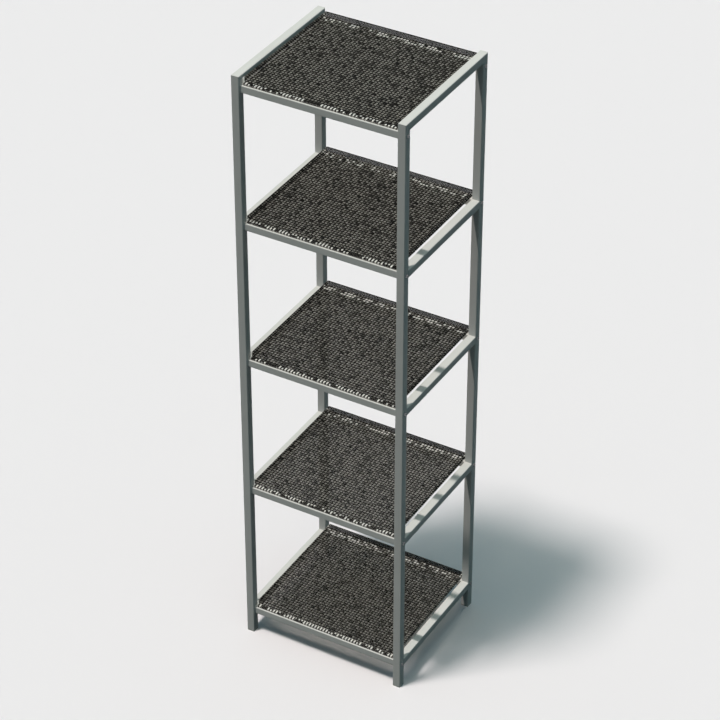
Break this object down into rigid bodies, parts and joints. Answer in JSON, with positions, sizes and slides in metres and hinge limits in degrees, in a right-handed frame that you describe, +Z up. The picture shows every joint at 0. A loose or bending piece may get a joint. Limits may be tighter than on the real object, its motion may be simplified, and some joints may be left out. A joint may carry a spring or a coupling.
{
  "type": "metal shelving unit",
  "caption": "Tall open shelving unit of square steel tube, with fine wire mesh trays that rest on cross rails and have raised lips at the sides and back.",
  "frame": {"origin": "middle of the footprint on the floor, at the feet", "axes": "+Z up, -Y the front where the trays have no lip, +X the unit's right side seen from the front"},
  "size_m": [0.4168, 0.35, 1.49],
  "materials": {
    "frame_paint": "silver-grey powder coat, satin",
    "mesh_paint": "dark grey powder coat on wire mesh, satin",
    "screw_steel": "bright zinc-plated steel",
    "plug_plastic": "moulded grey plastic"
  },
  "bodies": {
    "root": {"post_front_left": "frame_paint", "foot_plug_front_left": "plug_plastic", "screw_front_left_1": "screw_steel", "screw_front_left_2": "screw_steel", "screw_front_left_3": "screw_steel", "screw_front_left_4": "screw_steel", "screw_front_left_5": "screw_steel", "post_rear_left": "frame_paint", "foot_plug_rear_left": "plug_plastic", "screw_rear_left_1": "screw_steel", "screw_rear_left_2": "screw_steel", "screw_rear_left_3": "screw_steel", "screw_rear_left_4": "screw_steel", "screw_rear_left_5": "screw_steel", "side_bar_left_1": "frame_paint", "side_bar_left_2": "frame_paint", "side_bar_left_3": "frame_paint", "side_bar_left_4": "frame_paint", "side_bar_left_5": "frame_paint", "post_front_right": "frame_paint", "foot_plug_front_right": "plug_plastic", "screw_front_right_1": "screw_steel", "screw_front_right_2": "screw_steel", "screw_front_right_3": "screw_steel", "screw_front_right_4": "screw_steel", "screw_front_right_5": "screw_steel", "post_rear_right": "frame_paint", "foot_plug_rear_right": "plug_plastic", "screw_rear_right_1": "screw_steel", "screw_rear_right_2": "screw_steel", "screw_rear_right_3": "screw_steel", "screw_rear_right_4": "screw_steel", "screw_rear_right_5": "screw_steel", "side_bar_right_1": "frame_paint", "side_bar_right_2": "frame_paint", "side_bar_right_3": "frame_paint", "side_bar_right_4": "frame_paint", "side_bar_right_5": "frame_paint", "front_rail_1": "frame_paint", "rear_rail_1": "frame_paint", "mesh_tray_1": "mesh_paint", "front_rail_2": "frame_paint", "rear_rail_2": "frame_paint", "mesh_tray_2": "mesh_paint", "front_rail_3": "frame_paint", "rear_rail_3": "frame_paint", "mesh_tray_3": "mesh_paint", "front_rail_4": "frame_paint", "rear_rail_4": "frame_paint", "mesh_tray_4": "mesh_paint", "front_rail_5": "frame_paint", "rear_rail_5": "frame_paint", "mesh_tray_5": "mesh_paint"}
  },
  "joints": []
}
